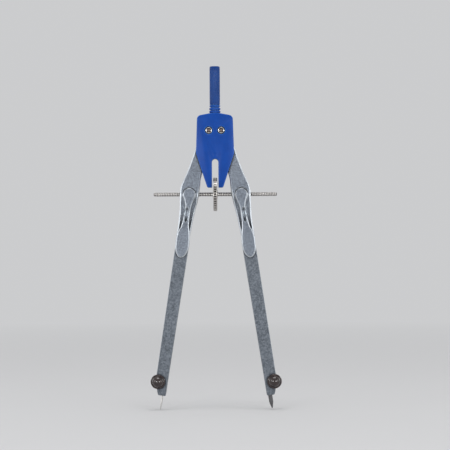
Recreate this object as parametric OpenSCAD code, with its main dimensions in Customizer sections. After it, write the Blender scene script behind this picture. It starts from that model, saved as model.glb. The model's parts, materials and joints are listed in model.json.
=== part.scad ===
// Bow compass: two jointed legs, opened and closed by a threaded spindle with a
// centre wheel, hang in a two-plate head under a round handle. Millimetres.
// The needle's point stands at z = 0, +Z runs up the handle, the front faces -Y.
// Each paired piece is drawn for the right side, x > 0, and mirrored to the left.

/* [Upper legs] */
// Distance from a leg's pivot to its knee
upper_leg_l = 56.7; // [47:0.1:68.1]
// Lean of the line from pivot to knee, in degrees from upright
leg_lean = 13.3; // [12.5:0.1:15]
// Distance from a leg's pivot to its spindle nut
nut_reach = 32.2; // [26.8:0.1:36]
// Angle between the lines from the pivot to the nut and to the knee
nut_bow = 3.9; // [3.2:0.1:5]
// Thickness of the upper leg's slab, front to back
leg_t = 4.2; // [3.5:0.1:5.1]
// Height of the raised pads above the slab, on each face
pad_rise = 0.7; // [0.5:0.1:0.9]
// Radius of the round pad around the spindle nut
nut_pad_r = 3.1; // [2.9:0.1:3.8]
// Half width of the pads' waist between nut and knee
waist_w = 1.25; // [1:0.05:1.6]
// Half width of the knee cheeks
cheek_r = 3.3; // [3:0.1:3.6]
// Length of the cheeks' round end below the knee
cheek_l = 6; // [5:0.1:7.2]
// Thickness of one knee cheek
cheek_t = 0.95; // [0.8:0.05:1.15]

/* [Gears at the pivots] */
// Half the distance between the two pivots, which is the gears' pitch radius
pitch_r = 3; // [3:0.1:3.2]
// Teeth of a whole gear
gear_teeth = 12; // [12:2:14]
// Height of a tooth above the pitch circle
addendum = 0.45; // [0.35:0.05:0.45]
// Depth of a gap below the pitch circle
dedendum = 0.62; // [0.55:0.01:0.7]
// Pressure angle of the tooth flanks
pressure_angle = 25; // [22:1:26]
// Gap between two meshed flanks
backlash = 0.16; // [0.12:0.01:0.2]

/* [Shins] */
// Distance from the knee to the flat end of the nose
shin_l = 73; // [61:0.5:87.6]
// Lean of the shins, in degrees from upright
shin_lean = 8.85; // [7.4:0.05:10]
// Thickness of the shins, front to back
shin_t = 3.6; // [3.4:0.1:3.9]
// Half width of a shin at the knee
shin_top_r = 3.25; // [3:0.05:3.9]
// Half width of a shin at the nose
shin_end_r = 2.95; // [2.8:0.05:3.1]
// Width of the nose's flat end
nose_w = 3.85; // [3.6:0.05:4.2]
// Inward offset of the point bore from the shin's middle line
bore_in = 1.35; // [1.2:0.05:1.4]
// Radius of the point bore
bore_r = 1.05; // [1.05:0.01:1.1]
// Depth of the point bore
bore_l = 17; // [15:0.5:20.5]
// Thickness of the clamping slit
slit_t = 0.6; // [0.5:0.1:0.8]
// Length of the clamping slit, up from the nose
slit_l = 14; // [11.5:0.5:17]

/* [Needle and lead] */
// Length of the needle below the nose
needle_out = 7; // [5.8:0.1:8.4]
// Radius of the needle's thin end
needle_r = 0.58; // [0.4:0.01:0.7]
// Length of the lead below the nose
lead_out = 6.4; // [5.3:0.1:7.7]
// Radius of the needle's shank and of the lead
point_r = 1; // [0.9:0.01:1]
// Length of the shanks inside the bore
shank_l = 13; // [11:0.5:15]
// Length of the lead's sharpened end
lead_cut_l = 3; // [2:0.1:4]

/* [Clamps] */
// Distance of the clamp screw's axis above the nose's end
clamp_up = 6.4; // [5.8:0.1:7.6]
// Outward offset of the clamp screw from the shin's middle line
clamp_out = 1.75; // [1.7:0.05:2]
// Radius of the clamp screw
clamp_screw_r = 1; // [0.85:0.05:1]
// Radius of the clamp knob
knob_r = 3.5; // [3.2:0.1:4.2]
// Length of the clamp knob, front to back
knob_l = 4; // [3.4:0.1:4.8]
// Radius of the shin's boss behind the knob
boss_r = 2.7; // [2.5:0.1:3.1]

/* [Knees] */
// Radius of the knee pin
knee_pin_r = 1; // [0.8:0.05:1.2]

/* [Spindle and wheel] */
// Length of the spindle
spindle_l = 59.2; // [49.3:0.1:71]
// Radius over the spindle's thread
spindle_r = 1; // [0.9:0.05:1.2]
// Radius of the barrel nuts
nut_r = 2.5; // [2.1:0.05:2.6]
// Radius of the adjusting wheel
wheel_r = 8.1; // [6.8:0.1:8.2]
// Width of the adjusting wheel's rim
wheel_w = 1.9; // [1.6:0.05:2]
// Width over the wheel's hub
hub_w = 2.2; // [1.9:0.05:2.2]
// Radius of the wheel's hub
hub_r = 2.2; // [1.8:0.1:3]
// Ribs around the wheel's rim
ribs = 42; // [36:1:50]
// Depth of the gaps between the ribs
rib_h = 0.4; // [0.3:0.05:0.6]

/* [Head] */
// Height of the head's top above the pivots
head_up = 8.5; // [8.2:0.1:10.2]
// Depth of the head's lower end below the pivots
head_down = 27.5; // [26.5:0.1:33]
// Half width of the head at its widest
head_r = 9.15; // [8.6:0.05:11]
// Thickness of a head plate
plate_t = 1.55; // [1.4:0.05:1.9]
// Width of the wheel's slot in the plates
slot_w = 3.1; // [3.1:0.05:3.7]
// Depth of the top of the wheel's slot below the pivots
slot_top = 13.7; // [12:0.1:14.2]
// Bevel along the plates' outer edges
plate_bevel = 0.4; // [0.2:0.05:0.6]
// Depth of the top block below the head's top
block_h = 3.3; // [3:0.1:3.9]
// Radius of the pivot rivets
rivet_r = 1.25; // [1.1:0.05:1.3]
// Radius of the rivets' heads
rivet_head_r = 1.7; // [1.5:0.05:1.9]
// Thickness of the friction washers
washer_t = 0.3; // [0.25:0.05:0.4]

/* [Handle] */
// Radius of the handle
handle_r = 2.5; // [2.2:0.05:3]
// Length of the handle above its collar
handle_l = 18.6; // [15.5:0.1:22.4]
// Length of the grooved collar under the handle
collar_l = 3.8; // [3.1:0.1:4.6]
// Radius of the stud inside the handle
stud_r = 1.5; // [1.2:0.05:1.6]

/* [Fits] */
// Radial clearance of every running fit
run_gap = 0.05; // [0.02:0.01:0.08]
// Side clearance between flat faces that slide on each other
side_gap = 0.05; // [0.03:0.01:0.1]

/* [Hidden] */
$fn = 48;

legs_open_by = 25;    // degrees that a leg opens from rest
legs_close_by = 10.5; // degrees that a leg closes from rest
knee_bends_by = 35;   // degrees that a shin folds inwards

blue = "royalblue";
silver = "lightslategray";
steel = "silver";
smoke = "dimgray";

// Places in the x-z plane, right side
needle_w = shin_l + needle_out;
knee_z = needle_w * cos(shin_lean) + bore_in * sin(shin_lean);
pivot = [pitch_r, knee_z + upper_leg_l * cos(leg_lean)];
knee = pivot + upper_leg_l * [sin(leg_lean), -cos(leg_lean)];
nut = pivot + nut_reach * [sin(leg_lean + nut_bow), -cos(leg_lean + nut_bow)];

// Levels from the middle plane, front to back
slab_y = leg_t / 2;
fork_y = shin_t / 2 + side_gap;
pad_y = max(slab_y + pad_rise, fork_y + cheek_t);
plate_in = slab_y + washer_t + 2 * side_gap;
plate_out = plate_in + plate_t;
spindle_slot_y = spindle_r + 0.2;
nut_front_y = slab_y - 0.15;
knee_pin_y = fork_y + cheek_t / 2;

// A cubic curve from a to d, drawn towards b and c, without its last point
function bend(a, b, c, d, n = 8) = [for (i = [0:n - 1]) let (t = i / n, s = 1 - t)
    s * s * s * a + 3 * s * s * t * b + 3 * s * t * t * c + t * t * t * d];
// Point p of a frame that leans by angle a, placed at c
function leaned(c, p, a) = c + [p.x * cos(a) - p.y * sin(a), p.x * sin(a) + p.y * cos(a)];

// A shape in the x-z plane, given thickness from y = a to y = b
module slab(a, b) translate([0, b, 0]) rotate([90, 0, 0]) linear_extrude(b - a) children();
// A round bar along Y at place p
module bar_y(p, r, a, b) translate([p.x, b, p.y]) rotate([90, 0, 0]) cylinder(r = r, h = b - a);
// A turned shape whose axis lies along Y at place p, its profile's top towards the front
module turned_y(p, y) translate([p.x, y, p.y]) rotate([90, 0, 0]) rotate_extrude() children();
module round_slab(p, r, a, b, n = 32) translate([p.x, b, p.y]) rotate([90, 0, 0])
    cylinder(r = r, h = b - a, $fn = n);
module left() mirror([1, 0, 0]) children();
// A shin's own frame: the knee at its origin and the nose straight down
module shin_frame() translate([knee.x, 0, knee.y]) rotate([0, -shin_lean, 0]) children();

// ---- Handle and head ----

module handle() {
    low = pivot.y + head_up + collar_l;
    bevel = 0.5;
    color(blue) translate([0, 0, low]) difference() {
        rotate_extrude() polygon([[0, 0], [handle_r, 0], [handle_r, handle_l - bevel],
            [handle_r - bevel, handle_l], [0, handle_l]]);
        translate([0, 0, -1]) cylinder(r = stud_r + run_gap, h = handle_l * 0.6 + 1);
    }
}

module handle_stud() {
    low = pivot.y + head_up - block_h + 0.2;
    high = pivot.y + head_up + collar_l + handle_l * 0.6 - 0.5;
    color(steel) translate([0, 0, low]) cylinder(r = stud_r, h = high - low);
}

// Two rounded rings with a groove below, between and above them
module neck_collar() {
    ring = collar_l / 3;
    wide = handle_r + 0.25;
    slim = handle_r - 0.4;
    color(blue) translate([0, 0, pivot.y + head_up]) difference() {
        rotate_extrude() polygon([[0, 0], [wide, 0], [wide, ring - 0.4], [slim, ring - 0.2],
            [slim, ring + 0.1], [wide, ring + 0.3], [wide, 2 * ring - 0.1], [slim, 2 * ring + 0.1],
            [slim, 2 * ring + 0.4], [wide, 2 * ring + 0.6], [wide, collar_l - 0.2],
            [slim, collar_l], [0, collar_l]]);
        translate([0, 0, -1]) cylinder(r = stud_r + run_gap, h = collar_l + 2);
    }
}

// Corner circles of the head's outline, right side: x, height from the pivots and radius
corner_r = 2.2;
hip_r = 4.5;
prong_r = 0.9;
head_corners = [[head_r - 0.5 - corner_r, head_up - 1.1 - corner_r, corner_r],
    [head_r - hip_r, head_up - 18.9, hip_r], [slot_w / 2 + 1.6, prong_r - head_down, prong_r]];

module head_outline(a, b, inset, corners) {
    for (c = corners, s = [-1, 1])
        round_slab([s * c.x, pivot.y + c.y], c.z - inset, a, b);
    round_slab([0, pivot.y + head_up - 8.6], 8.6 - inset, a, b);
}

module head_plate() {
    difference() {
        hull() {
            head_outline(-plate_out + plate_bevel, -plate_in, 0, head_corners);
            head_outline(-plate_out, -plate_in, plate_bevel, head_corners);
        }
        bar_y([0, pivot.y - slot_top - slot_w / 2], slot_w / 2, -plate_out - 1, 0);
        slab(-plate_out - 1, 0) translate([-slot_w / 2, pivot.y - head_down - 1])
            square([slot_w, head_down - slot_top - slot_w / 2 + 1]);
        for (s = [-1, 1]) {
            bar_y([s * pivot.x, pivot.y], rivet_r + 0.02, -plate_out - 1, 0);
            bar_y([s * pivot.x, pivot.y], rivet_head_r + 0.15, -plate_out - 1, -plate_out + 0.7);
        }
    }
}

module head_front_plate() color(blue) head_plate();
module head_back_plate() color(blue) mirror([0, 1, 0]) head_plate();

module head_top_block() {
    color(blue) difference() {
        hull() head_outline(-plate_in, plate_in, 0, [head_corners[0]]);
        slab(-plate_in - 1, plate_in + 1) translate([-head_r - 1, pivot.y - head_down])
            square([2 * head_r + 2, head_down + head_up - block_h]);
        translate([0, 0, pivot.y]) cylinder(r = stud_r + 0.02, h = head_up + 1);
    }
}

// Tubular rivet: a ring-shaped head with a cup in its middle on both faces
module pivot_rivet() {
    head_t = 0.6;
    cup_r = 0.95;
    reach = plate_out - 0.05;
    color(steel) difference() {
        union() {
            bar_y(pivot, rivet_r, -reach + head_t, reach - head_t);
            for (y = [-reach, reach - head_t])
                bar_y(pivot, rivet_head_r, y, y + head_t);
        }
        for (y = [-reach - 1, reach - 1.1])
            bar_y(pivot, cup_r, y, y + 2.1);
    }
}

module pivot_washers() {
    color(steel) for (y = [slab_y + side_gap, -slab_y - side_gap - washer_t]) difference() {
        bar_y(pivot, 2.7, y, y + washer_t);
        bar_y(pivot, rivet_r + run_gap, y - 1, y + washer_t + 1);
    }
}

// ---- Upper legs ----

// One gear around the pivot; phase 0.5 turns it by half a tooth
module pivot_gear(phase) {
    base_r = pitch_r * cos(pressure_angle);
    root_r = pitch_r - dedendum;
    tip_r = pitch_r + addendum;
    step = 360 / gear_teeth;
    roll = [for (i = [0:4]) let (r = base_r + (tip_r - base_r) * i / 4) [r, acos(base_r / r)]];
    involute_at = tan(pressure_angle) * 180 / PI - pressure_angle;
    half_tooth = step / 4 - backlash / 4 / pitch_r * 180 / PI;
    // each flank point: radius and angle from the tooth's middle line
    flank = concat([[root_r, half_tooth + involute_at]],
        [for (p = roll) [p[0], half_tooth + involute_at - (tan(p[1]) * 180 / PI - p[1])]]);
    top = len(flank) - 1;
    teeth = [for (k = [0:gear_teeth - 1]) let (m = 180 + (k + phase) * step) each concat(
        [for (i = [0:top]) flank[i][0] * [cos(m - flank[i][1]), sin(m - flank[i][1])]],
        [for (i = [top:-1:0]) flank[i][0] * [cos(m + flank[i][1]), sin(m + flank[i][1])]])];
    translate(pivot) polygon(teeth);
}

// Outline of the slab from the pivot down to the knee
function leg_outline() = concat(
    [pivot + [-1.2, -3], pivot + [-0.4, -2], pivot + [2, 1.6], pivot + [3.2, 1.2]],
    bend(pivot + [3.8, 0.2], pivot + [4.9, -3], nut + [-1.8, 17], nut + [1.6, 9.4]),
    bend(nut + [1.6, 9.4], nut + [3.2, 5.8], nut + [4.5, 4], nut + [4.5, 0]),
    bend(nut + [4.5, 0], nut + [4.6, -4], nut + [4.6, -8], nut + [5.1, -12.3]),
    bend(nut + [5.1, -12.3], nut + [5.6, -16], knee + [2.2, 8], knee + [2.9, 4.6]),
    [knee + [2.9, 4.6], knee + [-3.7, 4.6]],
    bend(knee + [-4.1, 6], knee + [-4.6, 9], nut + [-2.2, -10], nut + [-3.2, -6.5]),
    bend(nut + [-3.2, -6.5], nut + [-4.3, -2.5], nut + [-5.2, 1], nut + [-5.4, 6.9]),
    [nut + [-5.4, 6.9]]);

// Outline of the long oval that covers the knee
function cheek_outline() = concat(
    [for (i = [0:11]) leaned(knee, [-cheek_r * cos(i * 15), -cheek_l * sin(i * 15)], shin_lean)],
    bend(leaned(knee, [cheek_r, 0], shin_lean), knee + [2.9, 5], knee + [1.7, 9],
        nut + [1.47 + waist_w, -11.5]),
    bend(nut + [1.47 - waist_w, -11.5], knee + [-4.3, 9], knee + [-4, 5],
        leaned(knee, [-cheek_r, 0], shin_lean)));

// The pads' neck, from the round pad to the waist
function neck_outline() = concat(
    bend(nut + [nut_pad_r, 0], nut + [nut_pad_r, -4], nut + [1.47 + waist_w, -6],
        nut + [1.47 + waist_w, -12]),
    bend(nut + [1.47 - waist_w, -12], nut + [1.47 - waist_w, -7], nut + [-nut_pad_r + 0.3, -4],
        nut + [-nut_pad_r, 0]));

// Way that the level spindle needs through the leg as the leg swings: one edge
// lies at angle a on the outer (1) or inner (-1) side, above (1) or below (-1)
function way_edge(a, outer, above, reach) = nut + outer * reach * [cos(a), sin(a)]
    + above * (spindle_r + 0.15) * [-sin(a), cos(a)];
module spindle_way() {
    reach = 9;
    up = legs_close_by;
    down = -legs_open_by;
    polygon([way_edge(up, 1, 1, 0), way_edge(up, 1, 1, reach),
        way_edge(down, 1, -1, reach), way_edge(down, 1, -1, 0)]);
    polygon([way_edge(down, -1, 1, 0), way_edge(down, -1, 1, reach),
        way_edge(up, -1, -1, reach), way_edge(up, -1, -1, 0)]);
}

module upper_leg(phase) {
    color(silver) difference() {
        union() {
            slab(-slab_y, slab_y) {
                pivot_gear(phase);
                polygon(leg_outline());
            }
            bar_y(nut, nut_pad_r, -pad_y, pad_y);
            slab(-pad_y, pad_y) {
                polygon(neck_outline());
                polygon(cheek_outline());
            }
        }
        bar_y(pivot, rivet_r + run_gap, -pad_y - 1, pad_y + 1);
        bar_y(nut, nut_r + run_gap, -nut_front_y - side_gap, pad_y + 1);
        slab(-spindle_slot_y, spindle_slot_y) spindle_way();
        bar_y(knee, shin_top_r + 0.3, -fork_y, fork_y);
        slab(-fork_y, fork_y) for (a = [0, -knee_bends_by]) translate(knee)
            rotate(shin_lean + a) translate([-shin_top_r - 0.3, -shin_l / 4])
                square([2 * shin_top_r + 0.6, shin_l / 4]);
        bar_y(knee, knee_pin_r + 0.02, -knee_pin_y - 0.05, pad_y + 1);
    }
}

module left_upper_leg() left() upper_leg(0.5);
module right_upper_leg() upper_leg(0);

// The knee pin is riveted at the back and blind in the front cheek
module knee_pin() color(steel) bar_y(knee, knee_pin_r, -knee_pin_y, pad_y - 0.05);

// ---- Shins and clamps ----

clamp_w = shin_l - clamp_up;
clamp_place = leaned(knee, [clamp_out, -clamp_w], shin_lean);

function nose_outline() = let (inner = -shin_end_r, outer = nose_w - shin_end_r, e = -shin_l)
    [[inner, -clamp_w], [clamp_out + boss_r * 0.8, -clamp_w], [outer + 1.1, e + 3.4],
    [outer + 0.1, e + 0.6], [outer - 0.4, e], [inner + 0.5, e], [inner, e + 0.5]];

module shin() {
    shin_bar_r = shin_top_r - 0.05;
    color(silver) difference() {
        union() {
            bar_y(knee, shin_top_r, -shin_t / 2, shin_t / 2);
            shin_frame() slab(-shin_t / 2, shin_t / 2) {
                polygon([[-shin_bar_r, 0], [shin_bar_r, 0], [shin_end_r, -clamp_w], [-shin_end_r, -clamp_w]]);
                polygon(nose_outline());
            }
            bar_y(clamp_place, boss_r, -shin_t / 2, shin_t / 2);
        }
        bar_y(knee, knee_pin_r + run_gap, -shin_t, shin_t);
        bar_y(clamp_place, clamp_screw_r + run_gap, -shin_t, shin_t);
        shin_frame() {
            translate([-bore_in, 0, -shin_l - 1]) cylinder(r = bore_r, h = bore_l + 1);
            slab(-slit_t / 2, slit_t / 2) translate([-bore_in, -shin_l - 1])
                square([10, slit_l + 1]);
        }
    }
}

module left_shin() left() shin();
module right_shin() shin();

// Smooth domed knob with a bevelled rim, its bore on the shin's side
module clamp_knob() {
    back = -shin_t / 2 - 2 * side_gap;
    rim = 1.3;
    dome = knob_l - rim;
    crown = 0.45 * knob_r;
    color(smoke) difference() {
        turned_y(clamp_place, back) polygon(concat([[0, 0], [knob_r - 0.3, 0], [knob_r, 0.3],
            [knob_r, rim - 0.1]], [for (i = [0:7]) [(knob_r - 0.35) * cos(i * 11.25),
            rim + dome * sin(i * 11.25)]], [[0, knob_l]]));
        bar_y(clamp_place, clamp_screw_r + 0.02, back - crown - 0.9, back + 1);
    }
}

module clamp_screw() {
    front = -shin_t / 2 - 2 * side_gap - 0.45 * knob_r - 0.8;
    color(steel) bar_y(clamp_place, clamp_screw_r, front, shin_t / 2);
}

module left_clamp_knob() left() clamp_knob();
module right_clamp_knob() clamp_knob();
module left_clamp_screw() left() clamp_screw();
module right_clamp_screw() clamp_screw();

// A turned point in a shin's bore; its profile gives radius and distance below the nose
module point_piece(profile) shin_frame() translate([-bore_in, 0, -shin_l])
    mirror([0, 0, 1]) rotate_extrude() polygon(profile);

module needle() color(steel) left() point_piece([[0, -shank_l], [point_r, -shank_l],
    [point_r, -0.7], [needle_r, -0.3], [needle_r * 0.8, needle_out - 3], [0.03, needle_out], [0, needle_out]]);

module lead() color(smoke) point_piece([[0, -shank_l], [point_r, -shank_l],
    [point_r, lead_out - lead_cut_l], [0.2, lead_out], [0, lead_out]]);

// ---- Spindle, nuts and wheel ----

module spindle_nut() {
    color(steel) difference() {
        bar_y(nut, nut_r, -nut_front_y, pad_y - 0.2);
        translate([nut.x - nut_r - 1, 0, nut.y]) rotate([0, 90, 0])
            cylinder(r = spindle_r + run_gap, h = 2 * nut_r + 2);
    }
}

module left_spindle_nut() left() spindle_nut();
module right_spindle_nut() spindle_nut();

module spindle() {
    half = spindle_l / 2;
    tip = 0.5;
    color(steel) translate([0, 0, nut.y]) rotate([0, 90, 0]) rotate_extrude()
        polygon([[0, -half], [spindle_r - tip / 2, -half], [spindle_r, tip - half],
            [spindle_r, half - tip], [spindle_r - tip / 2, half], [0, half]]);
}

module adjusting_wheel() {
    w = wheel_w / 2;
    h = hub_w / 2;
    web_r = wheel_r - 1.6;
    pitch = 360 / ribs;
    rim = [for (i = [0:ribs - 1], q = [[0.15, wheel_r], [0.35, wheel_r - rib_h],
        [0.65, wheel_r - rib_h], [0.85, wheel_r]]) q.y * [cos((i + q.x) * pitch), sin((i + q.x) * pitch)]];
    color(steel) translate([0, 0, nut.y]) rotate([0, 90, 0]) difference() {
        intersection() {
            rotate_extrude() polygon([[0, -h], [hub_r, -h], [hub_r, -w + 0.25], [web_r, -w + 0.25],
                [web_r + 0.3, -w], [wheel_r - 0.55, -w], [wheel_r, -w + 0.45], [wheel_r, w - 0.45],
                [wheel_r - 0.55, w], [web_r + 0.3, w], [web_r, w - 0.25], [hub_r, w - 0.25],
                [hub_r, h], [0, h]]);
            translate([0, 0, -h - 1]) linear_extrude(2 * h + 2) polygon(rim);
        }
        translate([0, 0, -h - 1]) cylinder(r = spindle_r + run_gap, h = 2 * h + 2);
    }
}

handle();
handle_stud();
neck_collar();
head_top_block();
head_front_plate();
head_back_plate();
left() pivot_rivet();  // left_pivot_rivet
pivot_rivet();  // right_pivot_rivet
left() pivot_washers();  // left_pivot_washers
pivot_washers();  // right_pivot_washers
left_upper_leg();
right_upper_leg();
left() knee_pin();  // left_knee_pin
knee_pin();  // right_knee_pin
left_shin();
right_shin();
left_spindle_nut();
right_spindle_nut();
spindle();
adjusting_wheel();
left_clamp_knob();
right_clamp_knob();
left_clamp_screw();
right_clamp_screw();
needle();
lead();
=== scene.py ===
"""Bow compass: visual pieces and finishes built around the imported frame.

Shapes are drawn in millimetres on the right side, x > 0, and mirrored to the left where a
piece comes in pairs. Places come from the frame's joints and boxes.
"""

import json
import logging
import math
from collections.abc import Callable, Sequence
from dataclasses import dataclass
from enum import Enum
from functools import partial
from typing import Any

import bmesh
import bpy
import numpy as np
from mathutils import Matrix, Vector


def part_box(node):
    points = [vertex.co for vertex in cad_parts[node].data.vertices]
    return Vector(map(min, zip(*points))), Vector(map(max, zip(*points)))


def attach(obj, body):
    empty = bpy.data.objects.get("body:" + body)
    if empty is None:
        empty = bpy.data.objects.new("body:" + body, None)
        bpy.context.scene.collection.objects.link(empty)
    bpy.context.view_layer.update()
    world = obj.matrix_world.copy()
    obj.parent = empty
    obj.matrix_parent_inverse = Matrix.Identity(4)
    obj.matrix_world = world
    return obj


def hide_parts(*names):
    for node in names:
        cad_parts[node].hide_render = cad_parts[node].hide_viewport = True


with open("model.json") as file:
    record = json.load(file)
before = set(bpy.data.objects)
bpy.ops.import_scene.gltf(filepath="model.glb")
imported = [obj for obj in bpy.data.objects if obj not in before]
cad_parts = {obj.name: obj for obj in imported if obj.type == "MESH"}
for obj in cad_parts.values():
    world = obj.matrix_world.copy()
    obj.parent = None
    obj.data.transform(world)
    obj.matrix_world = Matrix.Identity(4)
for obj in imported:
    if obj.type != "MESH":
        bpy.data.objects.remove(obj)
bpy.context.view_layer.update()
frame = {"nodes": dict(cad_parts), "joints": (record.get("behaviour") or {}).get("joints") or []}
LOG = logging.getLogger("compass")
MM = 0.001
X_AXIS, Y_AXIS, Z_AXIS = Vector((1, 0, 0)), Vector((0, 1, 0)), Vector((0, 0, 1))
CURVE_STEPS = 8
SHIN_BORE_IN = 1.35
NEEDLE_OUT = 7.0
FORK_Y = 1.85
Point = tuple[float, float]
Colour = tuple[float, float, float]
Piece = bpy.types.Object
Reshape = Callable[[np.ndarray, np.ndarray, np.ndarray], np.ndarray]


class Side(Enum):
    """The two legs' sides, with the name that their pieces begin with."""

    LEFT = "left"
    RIGHT = "right"


class Level(Enum):
    """Which rim of a plate is meant."""

    FRONT = "front"
    BACK = "back"


# ---- Places taken from the frame ----


def joint_place(name: str) -> Vector:
    """Gives a joint's place.

    Args:
        name: The joint's name in the frame.

    Returns:
        Its anchor in millimetres.
    """
    joint = next(j for j in frame["joints"] if j["name"] == name)
    return Vector(joint["pos_m"]) / MM


def node_range(name: str, axis: int) -> Point:
    """Gives how far a node reaches along an axis.

    Args:
        name: The node's name in the frame.
        axis: 0, 1 or 2 for x, y or z.

    Returns:
        Its lowest and highest place in millimetres.
    """
    low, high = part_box(name)
    return low[axis] / MM, high[axis] / MM


@dataclass(frozen=True)
class Places:
    """Pivots of the right side in the x-z plane, and the shins' lean."""

    pivot: Vector
    knee: Vector
    nut: Vector
    clamp: Vector
    lean: float
    nose: float

    @classmethod
    def from_frame(cls) -> "Places":
        """Reads the right side's pivots and the shin's lean and length.

        Returns:
            The places, in millimetres and radians.
        """
        names = ("leg_spread", "knee_fold", "nut_turn", "clamp_turn")
        spots = [joint_place(f"right_{name}") for name in names]
        slide = next(j for j in frame["joints"] if j["name"] == "lead_slide")["axis"]
        lean = math.asin(slide[0])
        needle_tip = node_range("needle", 2)[0]
        reach = (spots[1].z - needle_tip - SHIN_BORE_IN * math.sin(lean)) / math.cos(lean)
        return cls(*(Vector((s.x, s.z)) for s in spots), lean, reach - NEEDLE_OUT)

    def shin(self, outward: float, down: float) -> Point:
        """Places a point given in the shin's own frame, whose origin is the knee.

        Args:
            outward: Distance from the shin's middle line, away from the other leg.
            down: Distance from the knee towards the nose.

        Returns:
            The point's x and z.
        """
        c, s = math.cos(self.lean), math.sin(self.lean)
        return self.knee.x + outward * c + down * s, self.knee.y + outward * s - down * c


# ---- Drawing helpers ----


def in_space(place: Vector, y: float = 0.0) -> Vector:
    """Sets a point of the x-z plane at a depth."""
    return Vector((place.x, y, place.y))


def opposite(name: str) -> str:
    """Names what is opposite: left for right, and back for front."""
    return name.replace("right", "left").replace("front", "back")


def bend(*points: Point) -> list[Point]:
    """Draws cubic curves one after the other.

    Args:
        points: The start, and for each curve the point that it first heads for, the point that
            it comes from at last, and its end.

    Returns:
        The curves' points, without the last end.
    """
    drawn = []
    for first in range(0, len(points) - 1, 3):
        corners = points[first:first + 4]
        for t in (i / CURVE_STEPS for i in range(CURVE_STEPS)):
            s = 1 - t
            weights = (s * s * s, 3 * s * s * t, 3 * s * t * t, t * t * t)
            drawn.append(tuple(sum(w * p[k] for w, p in zip(weights, corners)) for k in (0, 1)))
    return drawn


def arc(centre: Point, radius: float, start: float, end: float, count: int) -> list[Point]:
    """Draws an arc, with both ends.

    Args:
        centre: Its centre.
        radius: Its radius.
        start: First angle in degrees.
        end: Last angle in degrees.
        count: Number of points.

    Returns:
        The arc's points.
    """
    angles = [math.radians(start + (end - start) * i / (count - 1)) for i in range(count)]
    return [(centre[0] + radius * math.cos(a), centre[1] + radius * math.sin(a)) for a in angles]


def hull(points: Sequence[Point]) -> list[Point]:
    """Wraps points in their convex outline.

    Args:
        points: Any points.

    Returns:
        The outline's corners, counterclockwise.
    """
    ordered = sorted(set(points))

    def chain(run: Sequence[Point]) -> list[Point]:
        """Walks one side of the outline.

        Args:
            run: The points in order.

        Returns:
            The side's corners, without the last.
        """
        made: list[Point] = []
        for p in run:
            while len(made) > 1:
                (ax, ay), (bx, by) = made[-2], made[-1]
                if (bx - ax) * (p[1] - ay) - (by - ay) * (p[0] - ax) > 1e-6:
                    break
                made.pop()
            made.append(p)
        return made[:-1]

    return chain(ordered) + chain(ordered[::-1])


def depth_inside(points: np.ndarray, outline: Sequence[Point]) -> np.ndarray:
    """Measures how deep points lie inside an outline.

    Args:
        points: An N by 2 array.
        outline: The closed outline's corners.

    Returns:
        The distance to the outline for each point, negative outside.
    """
    a = np.array(outline, float)
    b = np.roll(a, -1, axis=0)
    edge = b - a
    to_point = points[:, None, :] - a[None]
    share = np.clip((to_point * edge).sum(2) / (edge * edge).sum(1), 0, 1)
    distance = np.linalg.norm(to_point - share[..., None] * edge, axis=2).min(1)
    above_a, above_b = points[:, None, 1] < a[:, 1], points[:, None, 1] < b[:, 1]
    rise = np.where(np.abs(edge[:, 1]) < 1e-9, 1e-9, edge[:, 1])
    across = a[:, 0] + (points[:, None, 1] - a[:, 1]) * edge[:, 0] / rise
    inside = ((above_a != above_b) & (points[:, None, 0] < across)).sum(1) % 2 == 1
    return np.where(inside, distance, -distance)


def row_ends(outlines: Sequence[Sequence[Point]], z: float) -> Point:
    """Finds where a level line enters and leaves a group of outlines.

    Args:
        outlines: Closed outlines.
        z: The line's height.

    Returns:
        The lowest and highest x on the line.
    """
    found = []
    for outline in outlines:
        for (ax, az), (bx, bz) in zip(outline, [*outline[1:], outline[0]]):
            if (az <= z) != (bz <= z):
                found.append(ax + (z - az) * (bx - ax) / (bz - az))
    return min(found), max(found)


def ease(value: np.ndarray) -> np.ndarray:
    """Turns a ramp into a smooth step from 0 to 1."""
    t = np.clip(value, 0, 1)
    return t * t * (3 - 2 * t)


# ---- The bench: modelling tools ----


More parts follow.
